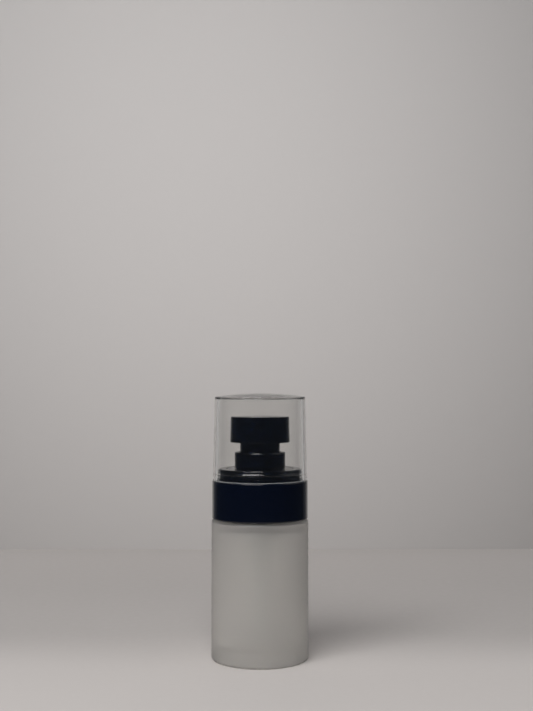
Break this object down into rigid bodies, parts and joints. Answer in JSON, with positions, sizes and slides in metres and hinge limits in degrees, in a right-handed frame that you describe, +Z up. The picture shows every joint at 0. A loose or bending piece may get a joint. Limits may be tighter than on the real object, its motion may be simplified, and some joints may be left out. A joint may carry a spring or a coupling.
{
  "type": "serum pump bottle",
  "caption": "Straight frosted glass bottle with a screw-on black treatment pump, a front nozzle push button and a clear pull-off overcap.",
  "frame": {"origin": "middle of the base, on the surface that the bottle stands on", "axes": "+Z up the bottle's axis, the nozzle faces -Y"},
  "size_m": [0.035, 0.035, 0.0954],
  "materials": {
    "frosted_glass": "acid-etched outside, polished inside",
    "clear_plastic": "clear, polished",
    "gloss_black": "glossy",
    "moulded_black": "as moulded",
    "natural_plastic": "natural, slightly see-through",
    "seal_plastic": "soft, matte",
    "gasket_foam": "closed-cell foam",
    "spring_steel": "drawn wire",
    "ball_glass": "polished"
  },
  "bodies": {
    "bottle": {"bottle": "frosted_glass"},
    "pump_core": {"neck_gasket": "gasket_foam", "pump_housing": "natural_plastic", "stem_guide": "natural_plastic", "ball_retainer": "natural_plastic", "dip_tube": "natural_plastic", "return_spring": "spring_steel"},
    "closure_set": {"screw_closure": "moulded_black", "collar": "gloss_black", "cap_seat_ring": "gloss_black", "ferrule": "gloss_black"},
    "cap": {"overcap": "clear_plastic"},
    "plunger": {"stem": "natural_plastic", "piston_rod": "natural_plastic"},
    "piston": {"piston_seal": "seal_plastic"},
    "pump_head": {"actuator": "gloss_black", "nozzle_insert": "moulded_black"},
    "inlet_ball": {"check_ball": "ball_glass"}
  },
  "joints": [
    {"name": "pump_lift", "type": "slide", "parent": "bottle", "child": "pump_core", "axis": [0, 0, 1], "range_m": [0, 0.0048]},
    {"name": "closure_unscrew", "type": "hinge", "parent": "pump_core", "child": "closure_set", "pos_m": [0, 0, 0.0636], "axis": [0, 0, 1], "range_deg": [0, 540]},
    {"name": "cap_pull_off", "type": "slide", "parent": "closure_set", "child": "cap", "axis": [0, 0, 1], "range_m": [0, 0.035]},
    {"name": "actuator_press", "type": "slide", "parent": "pump_core", "child": "plunger", "axis": [0, 0, -1], "range_m": [0, 0.0032], "stiffness_N_per_m": 1500, "deforming": ["return_spring"]},
    {"name": "head_turn", "type": "hinge", "parent": "plunger", "child": "pump_head", "pos_m": [0, 0, 0.0815], "axis": [0, 0, 1], "continuous": true},
    {"name": "piston_slip", "type": "slide", "parent": "plunger", "child": "piston", "axis": [0, 0, 1], "range_m": [0, 0.0005]},
    {"name": "ball_lift", "type": "slide", "parent": "pump_core", "child": "inlet_ball", "axis": [0, 0, 1], "range_m": [0, 0.0008]}
  ],
  "couplings": [
    {"joint": "pump_lift", "follows": "closure_unscrew", "m_per_rad": 0.00050532}
  ]
}
